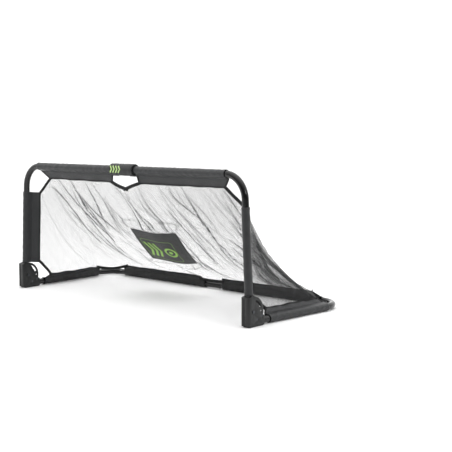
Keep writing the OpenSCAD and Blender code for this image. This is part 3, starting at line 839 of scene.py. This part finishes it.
def fold_lines():
    """points along every fold line, and how strong the fold is at each"""
    rng = np.random.default_rng(12)
    points, strengths = [], []
    t = np.linspace(0, 1, 160)
    fade = np.sin(math.pi * t) ** 0.6

    def draw(grid, across, down, strength):
        inside = (across > 0.005) & (across < 0.995)
        points.append(on_grid(grid, across[inside], down[inside]))
        strengths.append((strength * fade)[inside])

    for _ in range(SLOPE_FOLDS):
        start, drift = rng.uniform(0.02, 0.93), rng.uniform(0.02, 0.24)
        top = rng.choice([0.0, rng.uniform(0.0, 0.5)])
        low = min(1.0, top + rng.uniform(0.35, 1.0))
        wander = 0.012 * np.sin(t * rng.uniform(3, 9) + rng.uniform(0, 6))
        down = top + (low - top) * t
        draw(whole_back, start + drift * down + wander, down, rng.uniform(0.2, 1.0) ** 2)
    for _ in range(PANEL_FOLDS):
        start, stop = rng.uniform(0.1, 0.9), rng.uniform(0.02, 0.3)
        across = start + (stop - start) * t + 0.03 * np.sin(t * rng.uniform(4, 10))
        draw(right_side, across, 0.08 + 0.9 * t, rng.uniform(0.3, 0.9))
    return np.concatenate(points), np.concatenate(strengths)

def near_folds(points, width):
    """0 to 1: how close each point is to a fold line, times the fold's strength"""
    found = [fold_tree.find(Vector(p)) for p in points]
    away = np.array([f[2] for f in found])
    strength = fold_strength[[f[1] for f in found]]
    return strength * np.exp(-(away / width) ** 2)

fold_points, fold_strength = fold_lines()
fold_tree = KDTree(len(fold_points))
for number, point in enumerate(fold_points):
    fold_tree.insert(point, number)
fold_tree.balance()

smooth_panels = {name: grid.copy() for name, grid in panels.items()}
for name, grid in panels.items():
    lift = near_folds(grid.reshape(-1, 3), RIDGE_W).reshape(grid.shape[:2]) * RIDGE_HIGH
    lift[[0, -1]] = 0
    lift[:, 0 if name == "left_side" else -1] *= 0 if "side" in name else 1
    push = OFF_SLOPE if "back" in name else [1 if "right" in name else -1, 0, 0]
    panels[name] = grid + lift[..., None] * push
print("drew", len(fold_points), "points of fold lines")

# %% [markdown]
# The four panels are welded into one mesh for the simulation. The border is pinned, the cloth is
# let out by about one percent so that it has slack, and it falls for half a second. The folded
# shape that it reaches is the net.

# %% Net hung
def weld(piece, distance=0.0004):
    mesh = bmesh.new()
    mesh.from_mesh(piece.data)
    bmesh.ops.remove_doubles(mesh, verts=mesh.verts, dist=distance)
    mesh.to_mesh(piece.data)
    border = sorted({v.index for v in mesh.verts if v.is_boundary})
    mesh.free()
    return border

def hang(piece, border, frames=26):
    group = piece.vertex_groups.new(name="held")
    group.add(border, 1.0, "REPLACE")
    modifier = piece.modifiers.new("hang", "CLOTH")
    settings = modifier.settings
    settings.quality = 6
    settings.mass = 0.02
    settings.tension_stiffness = 6
    settings.compression_stiffness = 6
    settings.shear_stiffness = 2
    settings.bending_stiffness = 0.01
    settings.air_damping = 3
    settings.shrink_min = -0.010  # lets it out by one percent
    settings.vertex_group_mass = "held"
    modifier.collision_settings.use_collision = False
    modifier.point_cache.frame_end = frames
    for number in range(1, frames + 1):
        bpy.context.scene.frame_set(number)
    hung = piece.evaluated_get(bpy.context.evaluated_depsgraph_get())
    points = coordinates(hung.data)
    piece.modifiers.remove(modifier)
    bpy.context.scene.frame_set(1)
    piece.data.vertices.foreach_set("co", points.ravel())
    piece.data.update()

net = build("net", [(grid, number, False) for number, grid in enumerate(panels.values())],
            [NET] * len(panels))
smooth_place = np.concatenate([grid.reshape(-1, 3) for grid in smooth_panels.values()])
place = net.data.attributes.new("place", "FLOAT_VECTOR", "POINT")
place.data.foreach_set("vector", smooth_place.ravel())
border = weld(net)
before = coordinates(net.data)
hang(net, border)
moved = np.linalg.norm(coordinates(net.data) - before, axis=1)
print("net has", len(before), "points,", len(border), "held; it moved",
      round(float(moved.max()), 3), "m at most")

def made_finer(piece):
    """one round of subdivision, applied, so that the folds curve"""
    finer = piece.modifiers.new("finer", "SUBSURF")
    finer.levels = 1
    finer.boundary_smooth = "PRESERVE_CORNERS"
    finished = piece.evaluated_get(bpy.context.evaluated_depsgraph_get())
    mesh = bpy.data.meshes.new_from_object(finished)
    piece.modifiers.remove(finer)
    piece.data = mesh

made_finer(net)
print("made finer:", len(net.data.vertices), "points")

# %% [markdown]
# A printed patch of black canvas is sewn inside the slope, partly left of centre, so its print
# shows in the goal's mouth. Its rim is turned over and sewn. It is stiffer than the net, so it
# bridges the small folds: its shape is the net's, smoothed, and the net is then pressed flat
# against its back.

# %% Patch
PATCH_W = size("patch", X)
PATCH_X = middle("patch", X)
PATCH_Y = span("patch", Y)
PATCH_SKEW = -0.045  # the lower edge sits this far to the left of the upper one
PATCH_SMOOTHING = 400  # rounds
PATCH_T = 0.0012

def heights(tree, x, y):
    found = [tree.ray_cast(Vector((a, b, 1.0)), Vector((0, 0, -1)))[0]
             for a, b in zip(x.ravel(), y.ravel())]
    return np.array([hit.z if hit else np.nan for hit in found]).reshape(x.shape)

def smoothed(field, times):
    for _ in range(times):
        wide = np.pad(field, 1, mode="reflect", reflect_type="odd")
        around = wide[:-2, 1:-1] + wide[2:, 1:-1] + wide[1:-1, :-2] + wide[1:-1, 2:]
        field = (around + 4 * field) / 8
    return field

patch_v, patch_u = np.meshgrid(np.linspace(0, 1, 44), np.linspace(-0.5, 0.5, 50), indexing="ij")
tree = BVHTree.FromPolygons([tuple(p) for p in coordinates(net.data)],
                            [tuple(f.vertices) for f in net.data.polygons])
patch_y = PATCH_Y[0] + (PATCH_Y[1] - PATCH_Y[0]) * patch_v
patch_x = PATCH_X + patch_u * PATCH_W + PATCH_SKEW * (patch_v - 0.5)
patch_z = smoothed(heights(tree, patch_x, patch_y), PATCH_SMOOTHING)
patch_mid = np.stack([patch_x, patch_y, patch_z], -1)
patch_face = unit(np.cross(np.gradient(patch_mid, axis=0), np.gradient(patch_mid, axis=1)))
patch_face *= -np.sign(patch_face[..., 2:3])

def on_patch(u, v, lift):
    """a point on the patch: u and v run from -0.5 to 0.5 across and down, lift is off its print"""
    i = (np.asarray(v) + 0.5) * (patch_mid.shape[0] - 1)
    j = (np.asarray(u) + 0.5) * (patch_mid.shape[1] - 1)
    i0 = np.clip(i.astype(int), 0, patch_mid.shape[0] - 2)
    j0 = np.clip(j.astype(int), 0, patch_mid.shape[1] - 2)
    a, b = (i - i0)[..., None], (j - j0)[..., None]
    pick = lambda f: ((f[i0, j0] * (1 - a) + f[i0 + 1, j0] * a) * (1 - b)
                      + (f[i0, j0 + 1] * (1 - a) + f[i0 + 1, j0 + 1] * a) * b)
    return pick(patch_mid) + pick(patch_face) * np.asarray(lift)[..., None]

def patch_sheet():
    edge = np.minimum(np.minimum(0.5 - np.abs(patch_u), 0.5 - np.abs(patch_v - 0.5)) / 0.045, 1)
    rim = np.where(edge < 1, 0.0007, 0.0) * np.clip(edge * 6, 0, 1)
    upper = patch_mid + patch_face * (PATCH_T / 2 + rim)[..., None]
    lower = patch_mid - patch_face * (PATCH_T / 2)
    border = lambda g: np.concatenate([g[0, :-1], g[:-1, -1], g[-1, :0:-1], g[:0:-1, 0]])
    rows = np.stack([border(upper), border(lower)])
    return [(upper, 0, False), (lower[:, ::-1], 0, False), (rows, 0, True)]

def rounded_frame(half_u, half_v, corner, count=12):
    line = []
    for quarter, (su, sv) in enumerate(((1, 1), (-1, 1), (-1, -1), (1, -1))):
        for turn in np.linspace(0, math.pi / 2, count) + quarter * math.pi / 2:
            line.append((su * (half_u - corner) + corner * math.cos(turn),
                         sv * (half_v - corner) + corner * math.sin(turn) * PATCH_W / PATCH_LONG))
    return np.array(line + line[:1])

PATCH_LONG = float(travelled(patch_mid[:, 25])[-1])

def line_on_patch(path, width, slot, thick=0.0005):
    path = along_path(np.column_stack([path, np.zeros(len(path))]), 160)[:, :2]
    points = on_patch(path[:, 0], path[:, 1], np.full(len(path), PATCH_T / 2 + thick / 2))
    up = on_patch(path[:, 0], path[:, 1], np.full(len(path), 0.01)) - points
    across = np.cross(unit(np.gradient(points, axis=0)), up)
    return band(points, across, width, thick, slot)

def spot_on_patch(u, v, radius, slot, sides, turn, lift):
    """a flat many-sided spot, its radius in metres"""
    turns = np.linspace(0, 2 * math.pi, sides, endpoint=False) + turn
    rows = []
    for r, h in ((0.0, lift), (radius * 0.6, lift), (radius, lift), (radius, PATCH_T / 2 - 0.0002)):
        rows.append(on_patch(u + r * np.cos(turns) / PATCH_W, v + r * np.sin(turns) / PATCH_LONG,
                             np.full(sides, h)))
    return np.array(rows), slot, True

# %% [markdown]
# The print on the patch is a thin rounded frame line with three chevrons and a ring inside it, a
# plain sports device with a spot in its ring. Screen print is a film of ink, so each shape is a
# very thin raised grid that follows the cloth.

# %% Patch print
FRAME_U, FRAME_V = -0.08, 0.08  # middle of the frame line on the patch
FRAME_HALF_U, FRAME_HALF_V = 0.345, 0.32
RING_U, RING_R = 0.125, 0.031

def patch_print():
    frame_line = rounded_frame(FRAME_HALF_U, FRAME_HALF_V, 0.05) + [FRAME_U, FRAME_V]
    grids = [line_on_patch(frame_line, 0.0030, 2)]
    for start in (-0.375, -0.275, -0.175):
        tip = start + 0.085
        mark = np.array([(start, FRAME_V - 0.23), (tip, FRAME_V), (start, FRAME_V + 0.23)])
        grids.append(line_on_patch(mark, 0.0125, 1, 0.0008))
    turns = np.linspace(0, 2 * math.pi, 60)
    ring = np.column_stack([RING_U + RING_R * np.cos(turns) / PATCH_W,
                            FRAME_V + RING_R * np.sin(turns) / PATCH_LONG])
    grids.append(line_on_patch(ring, 0.0110, 1, 0.0008))
    grids.append(spot_on_patch(RING_U, FRAME_V, 0.0125, 1, 5, math.pi / 2, 0.0013))
    return grids

sewn_at = 0.5 - 0.022  # the seam runs just inside the patch's edge
sewn = sewn_at * np.array([(-1, -1), (1, -1), (1, 1), (-1, 1), (-1, -1)])
sewn = along_path(np.column_stack([sewn, np.zeros(5)]), 400)[:, :2]
sewn_line = on_patch(sewn[:, 0], sewn[:, 1], np.full(len(sewn), PATCH_T / 2 + 0.0010))
sewn_up = on_patch(sewn[:, 0], sewn[:, 1], np.full(len(sewn), 0.01)) - sewn_line
patch = build("printed_patch", patch_sheet() + patch_print() + stitches(sewn_line, sewn_up, 3),
              [BLACK_CANVAS, GREEN_INK, LINE_INK, THREAD_GREY])
fold_with(patch, fold_share(coordinates(patch.data)))
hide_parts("patch")
print("patch is", round(PATCH_W * 1000), "by", round(PATCH_LONG * 1000), "mm")

# %% [markdown]
# The hung net is now cut into the four pieces that the frame carries. The two halves of the slope
# lap at the centre, so that no gap opens when the goal is pulled apart; each has half the thread
# there. Cover rises along the folds and where the cloth bends sharply, because gathered net shows
# more thread. Behind the patch the net is pressed flat.

# %% Net pieces
LAP_HALF = 0.0395  # half of the lap at the centre
UNDER = 0.0016  # the left half lies this far below the right one in the lap
BEHIND_PATCH = 0.0050  # the pressed net lies this far off the patch's middle
CREASE_W = 0.0042  # width of the dense line on each fold
SHADE_W = 0.03  # width of the slightly denser cloth round it
SHARP_BEND = 0.0012  # a bend this sharp adds its full share of cover

def press_under_patch(points):
    i = (points[:, 1] - PATCH_Y[0]) / (PATCH_Y[1] - PATCH_Y[0])
    u = (points[:, 0] - PATCH_X - PATCH_SKEW * (i - 0.5)) / PATCH_W
    outside = np.maximum(np.maximum(np.abs(u) - 0.5, 0) * PATCH_W,
                         np.maximum(np.abs(i - 0.5) - 0.5, 0) * (PATCH_Y[1] - PATCH_Y[0]))
    near = np.clip(1 - (outside - 0.008) / 0.03, 0, 1)
    target = on_patch(np.clip(u, -0.5, 0.5), np.clip(i - 0.5, -0.5, 0.5), np.full(len(u), 0.0))
    pressed = points.copy()
    pressed[:, 2] = points[:, 2] * (1 - near) + (target[:, 2] + BEHIND_PATCH) * near
    on_slope = points[:, 2] > 0.1
    return np.where((on_slope & (near > 0))[:, None], pressed, points)

def bend_of(points, edges):
    """how far each point stands off the middle of its neighbours"""
    total, number = np.zeros_like(points), np.zeros(len(points))
    for a, b in ((0, 1), (1, 0)):
        np.add.at(total, edges[:, a], points[edges[:, b]])
        np.add.at(number, edges[:, a], 1)
    return np.linalg.norm(total / number[:, None] - points, axis=1)

points = press_under_patch(coordinates(net.data))
net.data.vertices.foreach_set("co", points.ravel())
edges = np.array([tuple(edge.vertices) for edge in net.data.edges])
place = np.zeros(len(points) * 3)
net.data.attributes["place"].data.foreach_get("vector", place)
place = place.reshape(-1, 3)
cover = 1 + 4.6 * near_folds(place, CREASE_W) + 0.5 * near_folds(place, SHADE_W)
cover += 0.5 * np.clip(points[:, 0] / 0.6, 0, 1) * np.clip(points[:, 1] * -4 + 1.2, 0, 1)
sharpness = bend_of(points, edges)
cover += np.clip((sharpness - np.percentile(sharpness, 70)) / SHARP_BEND, 0, 1)
corner_distance = np.linalg.norm(points * [0.6, 1, 1] - (SIDE_END * [0.6, 1, 1]), axis=1)
cover += 0.8 * np.clip(1 - corner_distance / 0.2, 0, 1)
print("cover runs from", round(float(cover.min()), 2), "to", round(float(cover.max()), 2))
share = net.data.attributes.new("cover", "FLOAT", "POINT")
share.data.foreach_set("value", cover.astype(np.float32))

def cut_from_net(name, panel_numbers, sign, under=0.0):
    mesh = bmesh.new()
    mesh.from_mesh(net.data)
    back = 0 in panel_numbers
    drop = [f for f in mesh.faces if f.material_index not in panel_numbers
            or (back and sign * f.calc_center_median().x < -LAP_HALF)]
    bmesh.ops.delete(mesh, geom=drop, context="FACES")
    data = bpy.data.meshes.new(name)
    mesh.to_mesh(data)
    mesh.free()
    points = coordinates(data)
    thread = np.zeros(len(points))
    data.attributes["cover"].data.foreach_get("value", thread)
    if back:
        lap = np.abs(points[:, 0]) < LAP_HALF + 0.001
        thread = np.where(lap, thread * 0.5, thread)
        fade = np.clip(1 - (np.abs(points[:, 0]) - LAP_HALF) / 0.06, 0, 1)
        points = points - OFF_SLOPE * (under * fade)[:, None]
    data.attributes["cover"].data.foreach_set("value", thread.astype(np.float32))
    data.vertices.foreach_set("co", points.ravel())
    data.polygons.foreach_set("material_index", np.zeros(len(data.polygons), np.int32))
    data.materials.clear()
    data.materials.append(NET)
    piece = bpy.data.objects.new(name, data)
    bpy.context.scene.collection.objects.link(piece)
    fold_with(piece, fold_share(points))
    area = sum(f.area for f in data.polygons)
    print(name, "has", len(points), "points and", round(area, 3), "square metres")
    return piece

for side, sign in SIDES.items():
    slope = cut_from_net(f"{side}_back_netting", (0, 2), sign, UNDER if sign < 0 else 0.0)
    panel = cut_from_net(f"{side}_side_netting", (1,) if sign > 0 else (3,), sign)
    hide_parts(f"{side}_back_net")
    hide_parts(f"{side}_side_net")
bpy.data.objects.remove(net)

# %% [markdown]
# A padded cuff wraps the crossbar's centre joint: foam about 5 mm thick between two layers of
# black canvas, closed underneath by a lapped edge. Its ends are hemmed and stand a little open,
# so a dark gap shows round the sleeve. Lumps a few centimetres across keep it from looking turned
# on a lathe. Its print is a row of pale green chevrons.

# %% Padded cuff
CUFF_LONG = size("joint_wrap", X)
CUFF_R = size("joint_wrap", Z) / 2 - 0.0006

def cuff_radius(x, turn):
    lumps = creases(31, x + 0.2, turn, 0.03, 0.09, 7) * 0.0014
    flap = 0.0011 / (1 + np.exp(-(turn - 3.9) * 60)) - 0.0011 / (1 + np.exp(-(turn - 4.5) * 6))
    hem = -0.0007 * np.exp(-((CUFF_LONG / 2 - np.abs(x) - 0.010) / 0.0022) ** 2)
    return CUFF_R - 0.0007 + np.clip(lumps, -0.0016, 0.0007) + flap + hem

def on_cuff(x, turn, lift=0.0):
    """turn runs round from the back, over the top, to the front and under"""
    x, turn = np.broadcast_arrays(np.asarray(x, float), np.asarray(turn, float))
    r = cuff_radius(x, turn) + lift
    return np.stack([x, PIVOT.y + r * np.cos(turn), BAR_Z + r * np.sin(turn)], -1)

def cuff_shell():
    turns = np.linspace(0, 2 * math.pi, 120, endpoint=False)
    half = CUFF_LONG / 2
    rows = []
    for x in np.linspace(-half + 0.004, half - 0.004, 48):
        rows.append(on_cuff(np.full(120, x), turns))
    for end in (-1, 1):
        rolled = [(0.0016, 0.0008), (0.0004, 0.0024), (0.0, 0.0042), (0.0012, 0.0058),
                  (0.010, 0.0066)]
        lips = [on_cuff(np.full(120, end * (half - back)), turns, -deep) for back, deep in rolled]
        rows = lips[::-1] + rows if end < 0 else rows + lips
    return [(np.array(rows), 0, True)]

def line_on_cuff(path, width, slot, thick=0.0006, count=40):
    path = along_path(np.column_stack([path, np.zeros(len(path))]), count)[:, :2]
    points = on_cuff(path[:, 0], path[:, 1], 0.0003)
    outward = on_cuff(path[:, 0], path[:, 1], 0.01) - points
    across = np.cross(unit(np.gradient(points, axis=0)), outward)
    return band(points, across, width, thick, slot)

def cuff_print():
    front = math.pi + math.radians(-4)
    chevron = [(0, front - 0.62), (0.014, front), (0, front + 0.62)]
    return [line_on_cuff(np.array(chevron) + [x, 0], 0.0062, 1)
            for x in (-0.063, -0.046, -0.029, -0.012)]

def cuff_seams():
    turns = np.linspace(0.1, 2 * math.pi - 0.1, 160)
    made = []
    for x in (-1, 1):
        place = x * (CUFF_LONG / 2 - 0.010)
        line = on_cuff(np.full(160, place), turns, 0.0004)
        made += stitches(line, on_cuff(np.full(160, place), turns, 0.01) - line, 2, pitch=0.0042)
    return made

cuff = build("padded_cuff", cuff_shell() + cuff_print() + cuff_seams(),
             [BLACK_CANVAS, PALE_INK, THREAD_GREY])
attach(cuff, "right_front")
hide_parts("joint_wrap")
print("cuff is", round(CUFF_LONG * 1000), "mm long and", round(CUFF_R * 2000), "mm across")

# %% [markdown]
# The CAD nodes that still show get their finishes here, chosen by the end of their names. Their
# surfaces are shaded smooth except where two faces meet at more than 30 degrees, so the tubes
# look round and the moulded edges stay crisp. A small bevel softens the hinge's moulded edges,
# which are never truly sharp.

# %% Finishes on the CAD pieces
FINISHES = {"base_tube": STEEL, "front_tube": STEEL, "foot": RUBBER,
            "hinge_outer": NYLON, "hinge_inner": NYLON, "post_plug": NYLON,
            "hinge_bolt": BLACK_ZINC, "clamp_screws": BLACK_ZINC, "hinge_washers": BLACK_ZINC,
            "bar_spigot": ZINC, "back_spigot": ZINC,
            "bar_spigot_rivet": ZINC, "back_spigot_rivet": ZINC}

def finish_node(node, material):
    node.data.materials.clear()
    node.data.materials.append(material)
    node.data.polygons.foreach_set("use_smooth", np.full(len(node.data.polygons), True))
    node.data.set_sharp_from_angle(angle=math.radians(30))
    if material is NYLON and "hinge" in node.name:
        weld_points = node.modifiers.new("weld", "WELD")
        weld_points.merge_threshold = 0.00001
        edge = node.modifiers.new("moulded edge", "BEVEL")
        edge.width = 0.0007
        edge.segments = 2
        edge.angle_limit = math.radians(40)
        edge.harden_normals = True

finished = 0
for name, node in frame["nodes"].items():
    material = FINISHES.get(name) or FINISHES.get(name.partition("_")[2])
    if node.hide_render or material is None:
        continue
    finish_node(node, material)
    finished += 1
print("gave finishes to", finished, "CAD pieces")

# %% [markdown]
# The stage is a plain pale floor under a sky that is bright behind the goal and dim on the
# camera's side, as in a studio with a white back wall. That keeps black tube black, with bright
# edges. A broad, weak lamp overhead adds a soft shadow, and two small lamps at the left and right
# draw the sharp highlights.

# %% Stage and light
def stage_floor():
    material, tree, surface = new_material("pale studio floor", 0.9)
    surface.inputs["Base Color"].default_value = linear("#fdfdfd")
    surface.inputs["Specular IOR Level"].default_value = 0.1
    half = 14.0
    mesh = bpy.data.meshes.new("floor")
    corners = [(-half, -half, 0), (half, -half, 0), (half, half, 0), (-half, half, 0)]
    mesh.from_pydata(corners, [], [(0, 1, 2, 3)])
    mesh.materials.append(material)
    floor = bpy.data.objects.new("floor", mesh)
    bpy.context.scene.collection.objects.link(floor)

def soft_lamp(name, place, target, wide, watts):
    lamp = bpy.data.lights.new(name, "AREA")
    lamp.shape = "SQUARE"
    lamp.size = wide
    lamp.energy = watts
    holder = bpy.data.objects.new(name, lamp)
    holder.location = place
    holder.rotation_euler = (Vector(target) - Vector(place)).to_track_quat("-Z", "Y").to_euler()
    bpy.context.scene.collection.objects.link(holder)

def studio_sky(bright, dim):
    """bright behind the goal and overhead, dim on the camera's side"""
    world = bpy.data.worlds.new("studio")
    world.use_nodes = True
    tree = world.node_tree
    ahead = (-0.6 * math.sin(math.radians(EYE_TURN)), 0.6 * math.cos(math.radians(EYE_TURN)), 0.8)
    way = add(tree, "TexCoord").outputs["Generated"]
    share = add(tree, "VectorMath", {"operation": "DOT_PRODUCT"}, i0=way, i1=ahead).outputs["Value"]
    strength = ramp(tree, share, -0.15, 0.4, dim, bright)
    tree.links.new(strength, tree.nodes["Background"].inputs["Strength"])
    tree.nodes["Background"].inputs["Color"].default_value = linear("#ffffff")
    bpy.context.scene.world = world

bpy.context.scene.view_settings.view_transform = "Standard"
stage_floor()
soft_lamp("top lamp", (0.3, 0.2, 3.4), (0, 0, 0), 3.6, 28)
soft_lamp("key lamp", (-2.4, -2.6, 2.4), (0, 0, 0.2), 0.6, 16)
soft_lamp("rim lamp", (3.4, -0.6, 1.8), (0.3, 0, 0.2), 0.45, 12)
studio_sky(1.40, 0.14)
print("stage set")
